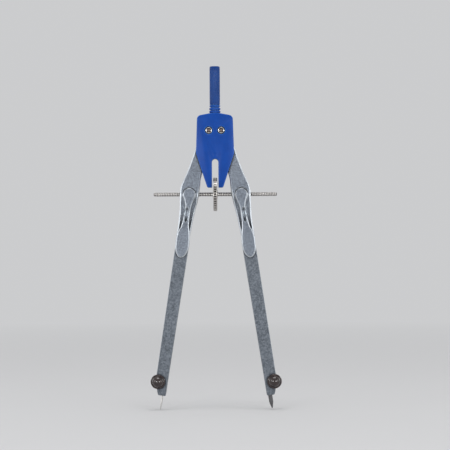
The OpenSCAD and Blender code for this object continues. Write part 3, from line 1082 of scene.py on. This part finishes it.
@dataclass
class Head(Assembly):
    """Two blue plates with a block between them, rivets, the grooved collar and the handle."""

    slot_w: float = 3.1
    slot_top: float = 13.7
    bevel: float = 0.4
    inner_bevel: float = 0.12
    dent_down: float = 12.0
    rivet_head_r: float = 1.7
    rivet_r: float = 1.25
    stud_bore: float = 1.55
    ring_r: float = 2.72
    neck_r: float = 2.2
    flutes: int = 36
    flute_depth: float = 0.07

    def outline(self) -> list[Point]:
        """Draws a plate's outline with the wheel's slot in it.

        Returns:
            The outline's x and z.
        """
        top = self.places.pivot.y
        discs = [(0.0, -0.1, 8.6), (6.45, 5.2, 2.2), (4.65, -10.4, 4.5), (3.15, -26.6, 0.9)]
        round_points = [(round(s * x + p[0], 5), round(top + z + p[1], 5))
                        for x, z, r in discs for s in (-1, 1) for p in arc((0, 0), r, 0, 355, 72)]
        wrap = hull(round_points)
        half = self.slot_w / 2
        low = min(z for _, z in wrap)
        arch = arc((0, top - self.slot_top - half), half, 180, 0, 15)
        start = next(i for i, p in enumerate(wrap) if p[0] > half and abs(p[1] - low) < 0.01)
        loop = wrap[start:] + wrap[:start]
        return [*loop, (-half, low), *arch, (half, low)]

    def plate(self) -> Piece:
        """Makes the front plate, with its rivet seats and centre dimple.

        Returns:
            The plate.
        """
        front, back = node_range("head_front_plate", 1)
        pivot = self.places.pivot
        piece = Bench.plate("front_plate", self.outline(), front, back,
                            {Level.FRONT: self.bevel, Level.BACK: self.inner_bevel})
        seat, hole = self.rivet_head_r + 0.15, self.rivet_r + 0.02
        cup = [(0, -1), (seat + 0.28, -1), (seat + 0.22, 0.0), (seat + 0.04, 0.16), (seat, 0.3),
               (seat, 0.7), (hole, 0.7), (hole, 3), (0, 3)]
        for x in (-pivot.x, pivot.x):
            tool = Bench.lathe("seat", cup, Vector((x, front, pivot.y)), Y_AXIS, 56)
            Bench.combine(piece, tool)
        dent = [(0, -1), (1.3, -1), (1.1, 0.0), (0.8, 0.07), (0.4, 0.12), (0, 0.13)]
        place = Vector((0, front, pivot.y - self.dent_down))
        Bench.combine(piece, Bench.lathe("dent", dent, place, Y_AXIS, 40))
        return Bench.settle(piece, 22)

    def rivet(self) -> Piece:
        """Makes the right tubular rivet, with a rolled ring and a cup at both ends.

        Returns:
            The rivet.
        """
        reach = node_range("right_pivot_rivet", 1)[1]
        lip = [(0, 1.1), (0.55, 1.1), (0.82, 1.0), (0.95, 0.8), (0.97, 0.42), (1.02, 0.2),
               (1.14, 0.06), (1.3, 0.0), (1.46, 0.05), (1.6, 0.18), (1.69, 0.36), (1.7, 0.58),
               (1.25, 0.6)]
        profile = [(r, d - reach) for r, d in lip] + [(r, reach - d) for r, d in lip[::-1]]
        place = in_space(self.places.pivot)
        return Bench.settle(Bench.lathe("right_rivet", profile, place, Y_AXIS, 56), 40)

    def collar(self) -> Piece:
        """Makes the collar: three rounded rings between grooves.

        Returns:
            The collar.
        """
        low, high = node_range("neck_collar", 2)
        tall = high - low
        rings = [(self.ring_r, 0.0, 0.27), (self.ring_r, 0.36, 0.62),
                 (self.ring_r - 0.1, 0.74, 0.95)]
        profile = [(self.stud_bore, 0.0)]
        for radius, start, end in rings:
            a, b = start * tall, end * tall
            profile += [(self.neck_r, a), (radius - 0.16, a + 0.04), (radius - 0.03, a + 0.16),
                        (radius, a + 0.32), (radius, b - 0.32), (radius - 0.03, b - 0.16),
                        (radius - 0.16, b - 0.04), (self.neck_r, b)]
        profile += [(self.neck_r, tall), (self.stud_bore, tall)]
        piece = Bench.lathe("collar", profile, Z_AXIS * low, Z_AXIS, 72, ring=True)
        return Bench.settle(piece, 40)

    def grip(self) -> Piece:
        """Makes the handle: fine flutes between two plain bands, and a rounded top.

        Returns:
            The handle.
        """
        low, high = node_range("handle", 2)
        radius = node_range("handle", 0)[1]
        tall = high - low
        bore = tall * 0.6
        straight = (0.28, 0.9, 1.0, 1.3, tall - 2.2, tall - 1.9, tall - 1.8, tall - 0.65)
        profile = [(0, bore), (self.stud_bore, bore), (self.stud_bore, 0), (radius - 0.25, 0.0),
                   (radius - 0.05, 0.1), *[(radius, z) for z in straight],
                   (radius - 0.08, tall - 0.35), (radius - 0.28, tall - 0.12),
                   (radius - 0.6, tall), (0, tall)]

        def shape(angle: np.ndarray, r: np.ndarray, along: np.ndarray) -> np.ndarray:
            """Sinks each flute between the two bands.

            Args:
                angle: Each point's angle about the axis.
                r: Its radius.
                along: Its distance along the axis.

            Returns:
                The new radii.
            """
            banded = (along > 1.2) & (along < tall - 2.1) & (r > radius - 0.02)
            wave = 0.5 - 0.5 * np.cos(angle * self.flutes)
            return r - np.where(banded, self.flute_depth * wave, 0)

        piece = Bench.lathe("grip", profile, Z_AXIS * low, Z_AXIS, self.flutes * 4, shape=shape)
        return Bench.settle(piece, 32)

    def build(self) -> None:
        """Makes and fits the whole head."""
        paints = self.paints
        self.fit_pair(self.plate(), "head", paints.head, "head_front_plate", 1)
        self.fit_pair(self.rivet(), "head", paints.rivet, "right_pivot_rivet")
        self.fit(self.collar(), "head", paints.head, "neck_collar")
        self.fit(self.grip(), "head", paints.handle, "handle")
        paints.coat(frame["nodes"]["head_top_block"], paints.head)
        for name in ("handle_stud", "left_pivot_washers", "right_pivot_washers"):
            paints.coat(frame["nodes"][name], paints.bright)


# ---- Upper legs ----


@dataclass
class UpperLeg(Assembly):
    """A sculpted leg: gear teeth at the pivot, round pad, waisted neck and long knee oval."""

    slab: float = 2.1
    pad: float = 2.8
    pad_r: float = 3.1
    rim: float = 0.55
    sunk: float = 0.75
    groove: float = 0.42
    bowl: float = 1.25
    saddle: float = 0.18
    rows: int = 290
    columns: int = 64
    tail: float = 3.0
    tail_rows: int = 14
    teeth: int = 12
    pitch_r: float = 3.0
    tooth_out: float = 0.45
    tooth_in: float = 0.62
    pressure: float = 25.0
    pivot_bore: float = 1.3
    nut_bore: float = 2.55
    way_half: float = 1.15
    way_deep: float = 1.2
    way_up: float = 10.5
    way_down: float = -25.0
    fork_r: float = 3.55
    knee_turn: float = -35.0
    pin_bore: float = 1.02
    pin_end: float = -2.375

    def at(self, name: str, dx: float, dz: float) -> Point:
        """Places a point beside one of the pivots."""
        base = getattr(self.places, name)
        return base.x + dx, base.y + dz

    def leaned(self, x: float, z: float) -> Point:
        """Places a point in the knee's leaning frame."""
        return self.places.shin(x, -z)

    def slab_outline(self) -> list[Point]:
        """Draws the slab from the pivot down to the fork.

        Returns:
            The outline's x and z.
        """
        p, n, k = (partial(self.at, name) for name in ("pivot", "nut", "knee"))
        return [p(-1.2, -3), p(-0.4, -2), p(2, 1.6), p(3.2, 1.2),
                *bend(p(3.8, 0.2), p(4.9, -3), n(-1.8, 17), n(1.6, 9.4), n(3.2, 5.8), n(4.5, 4),
                      n(4.5, 0), n(4.6, -4), n(4.6, -8), n(5.1, -12.3), n(5.6, -16), k(2.2, 8),
                      k(2.9, 4.6)),
                k(2.9, 4.6), k(-3.7, 4.6),
                *bend(k(-4.1, 6), k(-4.6, 9), n(-2.2, -10), n(-3.2, -6.5), n(-4.3, -2.5),
                      n(-5.2, 1), n(-5.4, 6.9)), n(-5.4, 6.9)]

    def oval(self) -> list[Point]:
        """Draws the long oval over the knee.

        Returns:
            The outline's x and z.
        """
        n, k = (partial(self.at, name) for name in ("nut", "knee"))
        low = [self.leaned(-3.3 * math.cos(math.radians(i * 7.5)),
                           -6 * math.sin(math.radians(i * 7.5))) for i in range(24)]
        return [*low, *bend(self.leaned(3.3, 0), k(3.0, 4.6), k(2.3, 7), n(4.3, -15.8),
                            n(3.4, -13.6), n(3.0, -13), n(2.9, -12)),
                *bend(n(0.0, -12), n(0.1, -14), n(0.2, -15), n(0.1, -16.5), k(-3.6, 6),
                      k(-3.9, 4), self.leaned(-3.3, 0))]

    def neck(self) -> list[Point]:
        """Draws the flanks from the round pad down to the waist and the oval.

        Returns:
            The outline's x and z.
        """
        n = partial(self.at, "nut")
        return [n(3.05, 0.3),
                *bend(n(2.9, -0.6), n(2.3, -2.6), n(1.9, -4.4), n(2.0, -6.2), n(2.2, -8.6),
                      n(2.9, -11), n(3.2, -12.2), n(3.6, -13.8), n(4.1, -15), n(4.4, -16.6)),
                *bend(n(0.25, -16.6), n(0.2, -15), n(0.1, -13.6), n(-0.05, -12), n(-0.4, -9),
                      n(-0.7, -6.6), n(-1.3, -4.9), n(-2.1, -3.2), n(-2.9, -1.6), n(-3.08, 0.3))]

    def bowl_share(self, points: np.ndarray) -> np.ndarray:
        """Shapes the pointed bowl between the flanks of the neck.

        Args:
            points: An N by 2 array of x and z.

        Returns:
            The share of the bowl's depth at each point.
        """
        nut = np.array(self.places.nut)
        start, end = nut + (0.85, -5.6), nut + (1.85, -13.4)
        axis = end - start
        share = ((points - start) @ axis) / (axis @ axis)
        off = ((points - start) @ np.array([axis[1], -axis[0]])) / np.linalg.norm(axis)
        width = 0.12 + 0.95 * np.sin(np.pi * np.clip(share, 0, 1) ** 0.9) ** 0.8
        ends = ease(share / 0.22) * ease((1.03 - share) / 0.16)
        return np.clip(1 - (off / width) ** 2, 0, 1) * ends

    def height(self, points: np.ndarray) -> np.ndarray:
        """Sculpts a face of the leg.

        Args:
            points: An N by 2 array of x and z.

        Returns:
            The face's distance from the middle plane at each point.
        """
        nut = np.array(self.places.nut)
        z = points[:, 1] - nut[1]
        radial = np.linalg.norm(points - nut, axis=1)
        slab_in = depth_inside(points, self.slab_outline())
        oval_in = depth_inside(points, self.oval())
        neck_in = depth_inside(points, self.neck())
        pad_in = np.maximum.reduce([self.pad_r - radial, oval_in, neck_in])
        whole_in = np.maximum(slab_in, oval_in)

        def chamfer(depth: np.ndarray, drop: float) -> np.ndarray:
            """Rounds a rim off."""
            return drop * (1 - np.clip(depth / self.rim, 0, 1)) ** 1.15

        field = ease((whole_in - self.rim) / 0.45) * ease((0.05 - pad_in) / 0.5)
        field = field * ease((3.5 - z) / 9.0)
        base = self.slab - chamfer(slab_in, 0.42) - self.sunk * field
        step = 0.15
        top = self.slab + step + (self.pad - self.slab - step) * ease((2.6 - z) / 8.5)
        raised = top - chamfer(pad_in, 0.45) * ease((2.4 - z) / 2.2)
        high = np.where(pad_in > 0, np.maximum(base, raised), base)
        around = np.exp(-(((radial - self.pad_r - 0.05) / 0.19) ** 2)) * ease((z + 0.4) / 1.6)
        saddle = np.exp(-(((z + 15.0) / 1.1) ** 2)) * (pad_in > 0.6)
        return (high - self.groove * around - self.bowl * self.bowl_share(points)
                - self.saddle * saddle)

    def levels(self) -> np.ndarray:
        """Lists the rows' heights, closer together at the round lower end.

        Returns:
            The heights, from the lowest up.
        """
        low = min(z for _, z in self.oval()) + 0.02
        high = max(z for _, z in self.slab_outline()) - 0.02
        share = np.linspace(0, 1, self.tail_rows + 1)[:-1]
        round_end = low + self.tail * (1 - np.cos(share * math.pi / 2))
        straight = np.linspace(low + self.tail, high, self.rows + 1 - self.tail_rows)
        return np.concatenate([round_end, straight])

    def body(self) -> Piece:
        """Makes the leg's sculpted body, front and back.

        Returns:
            The body, in millimetres.
        """
        Bench.clear()
        bpy.ops.mesh.primitive_grid_add(
            x_subdivisions=self.columns, y_subdivisions=self.rows, size=1)
        piece = Bench.made("leg_body")
        outlines = [self.slab_outline(), self.oval()]
        levels = self.levels()
        ends = np.array([row_ends(outlines, z) for z in levels])
        flat = np.empty(len(piece.data.vertices) * 3)
        piece.data.vertices.foreach_get("co", flat)
        flat = flat.reshape(-1, 3)
        row = np.rint((flat[:, 1] + 0.5) * self.rows).astype(int)
        share = flat[:, 0] + 0.5
        share = 0.55 * share + 0.45 * (0.5 - 0.5 * np.cos(np.pi * share))
        x = ends[row, 0] + (ends[row, 1] - ends[row, 0]) * share
        high = self.height(np.column_stack([x, levels[row]]))
        piece.data.vertices.foreach_set("co", np.column_stack([x, -high, levels[row]]).ravel())
        apart = 20
        bpy.ops.object.mode_set(mode="EDIT")
        bpy.ops.mesh.select_all(action="SELECT")
        bpy.ops.mesh.extrude_region_move(TRANSFORM_OT_translate={"value": (0, apart, 0)})
        bpy.ops.object.mode_set(mode="OBJECT")
        for vertex in piece.data.vertices:
            if vertex.co.y > apart / 2:
                vertex.co.y = apart - vertex.co.y
        Bench.close(piece)
        return piece

    def gear(self, phase: float) -> Piece:
        """Makes the ring of involute teeth around the pivot.

        Args:
            phase: Turn of the teeth, as a share of one tooth.

        Returns:
            The toothed disc.
        """
        pressure = math.radians(self.pressure)
        base = self.pitch_r * math.cos(pressure)
        tip = self.pitch_r + self.tooth_out
        start = math.tan(pressure) - pressure
        half = math.pi / 2 / self.teeth - 0.04 / self.pitch_r
        flank = [(self.pitch_r - self.tooth_in, half + start)]
        for i in range(5):
            radius = base + (tip - base) * i / 4
            roll = math.acos(base / radius)
            flank.append((radius, half + start - math.tan(roll) + roll))
        tooth = [(r, -a) for r, a in flank] + flank[::-1]
        turns = [math.pi + (k + phase) * 2 * math.pi / self.teeth for k in range(self.teeth)]
        pivot = self.places.pivot
        outline = [(pivot.x + r * math.cos(turn + a), pivot.y + r * math.sin(turn + a))
                   for turn in turns for r, a in tooth]
        return Bench.plate("gear", outline, -self.slab, self.slab,
                           {Level.FRONT: 0.08, Level.BACK: 0.08}, 1)

    def way(self, outer: int) -> Piece:
        """Makes the tool that cuts the spindle's way on one side of the nut.

        Args:
            outer: 1 for the outer side, -1 for the inner.

        Returns:
            The tool.
        """
        nut, half, reach = self.places.nut, self.way_half, 9.0
        up, down = math.radians(self.way_up), math.radians(self.way_down)

        def corner(angle: float, above: int, far: float) -> Point:
            """Places a corner of the way."""
            return (nut.x + outer * far * math.cos(angle) - above * half * math.sin(angle),
                    nut.y + outer * far * math.sin(angle) + above * half * math.cos(angle))

        high, low = (up, down) if outer > 0 else (down, up)
        return Bench.prism([corner(high, 1, 0), corner(high, 1, reach), corner(low, -1, reach),
                            corner(low, -1, 0)], self.way_deep)

    def fork(self, turn: float) -> Piece:
        """Makes the tool that clears the fork for the shin at one turn of the knee.

        Args:
            turn: The knee's turn in radians.

        Returns:
            The tool.
        """
        knee, lean = self.places.knee, self.places.lean + turn
        c, s = math.cos(lean), math.sin(lean)
        half, down = self.fork_r, -12
        corners = [(-half, 0), (half, 0), (half, down), (-half, down)]
        return Bench.prism([(knee.x + x * c - z * s, knee.y + x * s + z * c) for x, z in corners],
                           FORK_Y)

    def cut(self, piece: Piece) -> None:
        """Cuts the pivot's bore, the nut's barrel, the spindle's way and the knee fork.

        Args:
            piece: The leg.
        """
        places = self.places
        pivot, nut, knee = tuple(places.pivot), tuple(places.nut), tuple(places.knee)
        Bench.combine(piece, Bench.bar(pivot, self.pivot_bore, -4, 4))
        Bench.combine(piece, Bench.bar(nut, self.nut_bore, -2.0, 4))
        Bench.combine(piece, self.way(1))
        Bench.combine(piece, self.way(-1))
        Bench.combine(piece, Bench.bar(knee, self.fork_r, -FORK_Y, FORK_Y, 64))
        for turn in (0.0, self.knee_turn):
            Bench.combine(piece, self.fork(math.radians(turn)))
        Bench.combine(piece, Bench.bar(knee, self.pin_bore, self.pin_end, 4))

    def knee_pin(self) -> Piece:
        """Makes the knee pin, peened at the back.

        Returns:
            The pin.
        """
        low, high = node_range("right_knee_pin", 1)
        profile = [(0, low), (0.9, low), (1.0, low + 0.1), (1.0, high - 0.25), (0.9, high - 0.1),
                   (0.6, high - 0.02), (0, high)]
        place = in_space(self.places.knee)
        return Bench.settle(Bench.lathe("right_knee_rivet", profile, place, Y_AXIS, 40), 40)

    def build(self) -> None:
        """Makes and fits both upper legs and their knee pins."""
        for side, phase in ((Side.RIGHT, 0.0), (Side.LEFT, 0.5)):
            name = f"{side.value}_leg_sculpted"
            piece = self.body()
            Bench.combine(piece, self.gear(phase), "UNION")
            self.cut(piece)
            Bench.close(piece)
            Bench.settle(piece, 38)
            if side is Side.LEFT:
                piece = Bench.flipped(piece, name)
            piece.name = piece.data.name = name
            self.fit(piece, f"{side.value}_leg", self.paints.leg, f"{side.value}_upper_leg")
        self.fit_pair(self.knee_pin(), "right_leg", self.paints.bright, "right_knee_pin")


# ---- Shins, clamps and points ----


@dataclass
class LowerLeg(Assembly):
    """A flat shin with a split clamping nose, its thumb knob, its screw and its point."""

    half: float = 1.8
    rim: float = 0.32
    top_r: float = 3.25
    end_r: float = 2.95
    clamp_out: float = 1.75
    clamp_up: float = 6.4
    boss_r: float = 2.7
    slit_in: float = 1.35
    slit_up: float = 14.0
    slit_half: float = 0.3
    pin_bore: float = 1.05
    bore_r: float = 1.05
    bore_up: float = 17.0
    point_up: float = 13.0
    knob_bore: float = 1.02
    knob_bore_deep: float = 2.475

    def outline(self) -> list[Point]:
        """Draws the shin in its own frame and places it.

        Returns:
            The outline's x and z.
        """
        e = self.places.nose
        c = e - self.clamp_up
        top = [(-x, -z) for x, z in arc((0, 0), self.top_r, 0, 180, 25)]
        boss = arc((self.clamp_out, c), self.boss_r, -63.4, 80, 15)
        drawn = [*top, *boss, (2.0, e - 3.4), (1.05, e - 0.6), (0.85, e - 0.22), (0.45, e),
                 (-2.45, e), (-2.8, e - 0.14), (-2.95, e - 0.5), (-self.end_r, c)]
        return [self.places.shin(u, w) for u, w in drawn]

    def shin(self) -> Piece:
        """Makes the right shin, with its knee bore, clamp bore, point bore and slit.

        Returns:
            The shin.
        """
        piece = Bench.plate("right_shin_bar", self.outline(), -self.half, self.half,
                            {Level.FRONT: self.rim, Level.BACK: self.rim}, 2)
        for place in (self.places.knee, self.places.clamp):
            Bench.combine(piece, Bench.bar(tuple(place), self.pin_bore, -4, 4))
        inner, outer = -self.slit_in, 9
        high, low = self.places.nose - self.slit_up, self.places.nose + 1
        corners = ((inner, high), (outer, high), (outer, low), (inner, low))
        slit = [self.places.shin(u, w) for u, w in corners]
        Bench.combine(piece, Bench.prism(slit, self.slit_half))
        mouth = self.bore_r + 0.25
        bore = [(0, -self.bore_up), (self.bore_r, -self.bore_up), (self.bore_r, -0.2),
                (mouth, 0.05), (mouth, 1), (0, 1)]
        Bench.combine(piece, Bench.lathe("bore", bore, self.bore_end(), self.direction(), 40))
        return Bench.settle(piece, 22)

    def direction(self) -> Vector:
        """Gives the shin's direction, from the knee to the nose."""
        return Vector((math.sin(self.places.lean), 0, -math.cos(self.places.lean)))

    def bore_end(self) -> Vector:
        """Gives the middle of the bore's mouth."""
        x, z = self.places.shin(-SHIN_BORE_IN, self.places.nose)
        return Vector((x, 0, z))

    def knob(self) -> Piece:
        """Makes the thumb knob: bevelled rim, fine groove and a smooth dome.

        Returns:
            The knob.
        """
        front, back = node_range("right_clamp_knob", 1)
        tall = back - front
        deep, hole, shoulder = self.knob_bore_deep, self.knob_bore, 1.5
        profile = [(0, deep), (hole, deep), (hole, 0), (3.15, 0), (3.4, 0.1), (3.5, 0.32),
                   (3.5, 1.0), (3.45, 1.2), (3.3, 1.36), (3.12, 1.4), (2.98, 1.32), (2.86, 1.36)]
        dome = [(2.78 * math.cos(math.radians(a)) ** 0.92,
                 shoulder + (tall - shoulder) * math.sin(math.radians(a)) ** 1.15)
                for a in range(4, 88, 5)]
        points = [(r, -d) for r, d in [*profile, *dome, (0, tall)]]
        place = in_space(self.places.clamp, back)
        return Bench.settle(Bench.lathe("right_thumb_knob", points, place, Y_AXIS, 72), 35)

    def screw(self) -> Piece:
        """Makes the clamp screw, chamfered and dimpled at its back end.

        Returns:
            The screw.
        """
        front, back = node_range("right_clamp_screw", 1)
        profile = [(0, front), (0.9, front), (1.0, front + 0.1), (1.0, back - 0.18),
                   (0.84, back), (0.6, back), (0.4, back - 0.2), (0, back - 0.26)]
        place = in_space(self.places.clamp)
        return Bench.settle(Bench.lathe("right_screw", profile, place, Y_AXIS, 40), 40)

    def point(self, name: str, profile: list[Point]) -> Piece:
        """Turns a point that stands in the right shin's bore.

        Args:
            name: Its name.
            profile: Radius and distance from the bore's mouth, without the inner end's centre.

        Returns:
            The point.
        """
        whole = [(0, -self.point_up), *profile]
        return Bench.settle(Bench.lathe(name, whole, self.bore_end(), self.direction(), 40), 40)

    def needle(self) -> Piece:
        """Makes the needle in the left shin: shank, shoulder and long fine taper.

        Returns:
            The needle.
        """
        profile = [(0.88, -13), (1.0, -12.88), (1.0, -0.78), (0.94, -0.62), (0.68, -0.42),
                   (0.5, -0.2), (0.46, 0.2), (0.45, 2.6), (0.42, 4.0), (0.34, 5.2), (0.22, 6.2),
                   (0.1, 6.8), (0.03, 6.98), (0, NEEDLE_OUT)]
        return Bench.flipped(self.point("steel_point", profile), "needle_steel_point")

    def lead(self) -> Piece:
        """Makes the sharpened lead.

        Returns:
            The lead.
        """
        profile = [(0.95, -13), (1.0, -12.95), (1.0, 3.3), (0.97, 3.46), (0.62, 4.8),
                   (0.28, 6.1), (0.16, 6.34), (0, 6.4)]
        return self.point("graphite_point", profile)

    def build(self) -> None:
        """Makes and fits both lower legs and what they hold."""
        paints = self.paints
        made = [(self.shin(), "right_lower_leg", paints.shin, "right_shin"),
                (self.knob(), "right_thumb_screw", paints.knob, "right_clamp_knob"),
                (self.screw(), "right_thumb_screw", paints.bright, "right_clamp_screw")]
        for row in made:
            self.fit_pair(*row)
        self.fit(self.needle(), "needle_point", paints.needle, "needle")
        self.fit(self.lead(), "lead_point", paints.lead, "lead")


# ---- Spindle, nuts and wheel ----


@dataclass
class Drive(Assembly):
    """The threaded spindle, its two barrel nuts and the adjusting wheel."""

    pitch: float = 0.8
    thread_depth: float = 0.2
    per_turn: int = 8
    plain: float = 1.3
    ribs: int = 42
    rib_depth: float = 0.42
    rim: float = 0.95
    hub_r: float = 2.2
    spindle_bore: float = 1.05

    def spindle(self) -> Piece:
        """Makes the spindle, right-handed on one side of the wheel and left-handed on the other.

        Returns:
            The spindle.
        """
        high = node_range("spindle", 0)[1]
        radius = node_range("spindle", 1)[1]
        count = int(high / self.pitch * self.per_turn)
        xs = [high - 0.5 - (high - 0.5) * i / count for i in range(count + 1)]
        ends = [(0, high), (radius - 0.36, high), (radius - 0.24, high - 0.2)]
        half = ends + [(radius, x) for x in xs if x > 0]
        profile = half + [(r, -x) for r, x in half[::-1]]

        def shape(angle: np.ndarray, r: np.ndarray, along: np.ndarray) -> np.ndarray:
            """Cuts the thread's grooves.

            Args:
                angle: Each point's angle about the axis.
                r: Its radius.
                along: Its distance along the axis.

            Returns:
                The new radii.
            """
            away = np.abs(along)
            turn = (away / self.pitch - angle / (2 * np.pi)) % 1.0
            groove = np.clip(1.15 - np.abs(turn - 0.5) * 3.0, 0, 1)
            fade = ease((away - self.plain) / 0.4) * ease((high - 0.2 - away) / 0.3)
            return r - np.where(r > radius - 0.01, self.thread_depth * groove * fade, 0)

        place = in_space(Vector((0, self.places.nut.y)))
        piece = Bench.lathe("threaded_spindle", profile, place, X_AXIS, 20, shape=shape)
        return Bench.settle(piece, 45)

    def wheel(self) -> Piece:
        """Makes the wheel: hub, sunk web, two plain rims and a ribbed tread between them.

        Returns:
            The wheel.
        """
        hub = node_range("adjusting_wheel", 0)[1]
        radius = node_range("adjusting_wheel", 1)[1]
        rim, hub_r = self.rim, self.hub_r
        half = [(self.spindle_bore, hub), (hub_r - 0.15, hub), (hub_r, hub - 0.12), (hub_r, 0.72),
                (hub_r + 0.15, 0.62), (radius - 1.9, 0.62), (radius - 1.55, 0.7),
                (radius - 1.4, rim - 0.04), (radius - 1.25, rim), (radius - 0.45, rim),
                (radius - 0.14, rim - 0.08), (radius - 0.02, rim - 0.2), (radius, 0.66),
                (radius, 0.58), (radius - 0.02, 0.5), (radius - 0.02, 0.2)]
        profile = half + [(r, -x) for r, x in half[::-1]]

        def shape(angle: np.ndarray, r: np.ndarray, along: np.ndarray) -> np.ndarray:
            """Sinks the gaps between the ribs.

            Args:
                angle: Each point's angle about the axis.
                r: Its radius.
                along: Its distance along the axis.

            Returns:
                The new radii.
            """
            tread = (np.abs(along) < 0.52) & (r > radius - 0.1)
            turn = (angle / (2 * np.pi) * self.ribs) % 1.0
            gap = np.clip(2.2 - np.abs(turn - 0.5) * 9.0, 0, 1)
            return r - np.where(tread, self.rib_depth * gap, 0)

        place = in_space(Vector((0, self.places.nut.y)))
        piece = Bench.lathe("ribbed_wheel", profile, place, X_AXIS, self.ribs * 6, ring=True,
                            shape=shape)
        return Bench.settle(piece, 30)

    def nut(self) -> Piece:
        """Makes the right barrel nut with its cross bore.

        Returns:
            The nut.
        """
        front, back = node_range("right_spindle_nut", 1)
        profile = [(0, front), (2.35, front), (2.5, front + 0.12), (2.5, back - 0.2),
                   (2.32, back), (0, back)]
        place = in_space(self.places.nut)
        piece = Bench.lathe("right_barrel_nut", profile, place, Y_AXIS, 56)
        bore = [(0, -4), (self.spindle_bore, -4), (self.spindle_bore, 4), (0, 4)]
        Bench.combine(piece, Bench.lathe("bore", bore, place, X_AXIS, 40))
        return Bench.settle(piece, 35)

    def build(self) -> None:
        """Makes and fits the drive."""
        paints = self.paints
        self.fit(self.spindle(), "spindle_rod", paints.spindle, "spindle")
        self.fit(self.wheel(), "wheel", paints.wheel, "adjusting_wheel")
        self.fit_pair(self.nut(), "right_nut", paints.bright, "right_spindle_nut")


# ---- Studio ----


@dataclass(frozen=True)
class SoftBox:
    """A lamp with a soft rectangular face, in metres and watts."""

    name: str
    place: Vector
    size: Point
    power: float

    def build(self, aim: Vector) -> None:
        """Adds the lamp.

        Args:
            aim: Where it points.
        """
        Bench.clear()
        bpy.ops.object.light_add(type="AREA", location=self.place)
        lamp = bpy.context.object
        lamp.name = self.name
        lamp.data.shape = "RECTANGLE"
        lamp.data.size, lamp.data.size_y = self.size
        lamp.data.energy = self.power
        lamp.rotation_euler = (aim - self.place).to_track_quat("-Z", "Y").to_euler()


@dataclass
class Studio:
    """Pale floor and surroundings, soft lights and the camera."""

    aim: Vector
    distance: float = 1.0
    width: float = 0.2168
    roll: float = 0.3
    sensor: float = 36.0
    floor_r: float = 12.0
    fade_start: float = 250.0
    fade_end: float = 900.0
    ground: Colour = (0.57, 0.57, 0.575)
    pale: Colour = (0.60, 0.605, 0.615)

    def floor(self) -> None:
        """Lays a wide pale floor whose far part melts into the surroundings."""
        Bench.clear()
        bpy.ops.mesh.primitive_circle_add(vertices=96, radius=self.floor_r, fill_type="NGON")
        floor = Bench.made("studio_floor")
        shader = Shader("studio_floor")
        far = shader.node("ShaderNodeVectorMath", {"operation": "LENGTH"}, {0: shader.place})
        fade = shader.wire(far.outputs["Value"]).step(self.fade_start, self.fade_end)
        near = shader.node("ShaderNodeBsdfPrincipled", {}, {
            "Base Color": self.ground, "Roughness": 0.75})
        glow = shader.node("ShaderNodeEmission", {}, {"Color": self.pale, "Strength": 1.0})
        both = shader.node("ShaderNodeMixShader", {}, {
            0: fade, 1: near.outputs[0], 2: glow.outputs[0]})
        shader.node("ShaderNodeOutputMaterial", {}, {"Surface": both.outputs[0]})
        floor.data.materials.append(shader.material)

    def surroundings(self) -> None:
        """Makes the even pale surroundings."""
        world = bpy.data.worlds.new("studio")
        bpy.context.scene.world = world
        world.use_nodes = True
        back = world.node_tree.nodes["Background"]
        back.inputs["Color"].default_value = (*self.pale, 1.0)
        back.inputs["Strength"].default_value = 1.0

    def camera(self) -> None:
        """Sets the camera straight in front, with a long lens."""
        Bench.clear()
        bpy.ops.object.camera_add(location=self.aim - Y_AXIS * self.distance,
                                  rotation=(math.pi / 2, math.radians(self.roll), 0))
        camera = bpy.context.object
        camera.data.sensor_width = self.sensor
        camera.data.lens = self.sensor * self.distance / self.width
        bpy.context.scene.camera = camera

    def build(self) -> None:
        """Sets up the studio."""
        self.camera()
        self.floor()
        self.surroundings()
        boxes = (("left_box", (-0.84, -0.42, 0.15), (0.5, 0.7), 2.4),
                 ("right_box", (0.84, -0.40, 0.15), (0.5, 0.7), 2.1),
                 ("top_box", (0.0, -0.2, 1.1), (0.7, 0.5), 4.5),
                 ("back_left_box", (-0.75, 0.75, 0.2), (0.4, 0.5), 1.1),
                 ("back_right_box", (0.75, 0.75, 0.2), (0.4, 0.5), 1.1),
                 ("left_spark", (-0.40, -1.0, 0.13), (0.15, 0.15), 2.4),
                 ("right_spark", (0.42, -1.0, 0.12), (0.15, 0.15), 2.4))
        for name, place, size, power in boxes:
            SoftBox(name, Vector(place), size, power).build(self.aim)
        bpy.context.scene.view_settings.view_transform = "Standard"


def main() -> None:
    """Builds the studio and the compass."""
    logging.basicConfig(level=logging.INFO, format="%(name)s: %(message)s")
    Studio(Vector((0.0046, 0.0, 0.0889))).build()
    places = Places.from_frame()
    paints = Paintbox(places)
    for part in (Head(places, paints), UpperLeg(places, paints), LowerLeg(places, paints),
                 Drive(places, paints)):
        part.build()
    Bench.clear()
    bpy.context.view_layer.update()


if __name__ == "__main__":
    main()
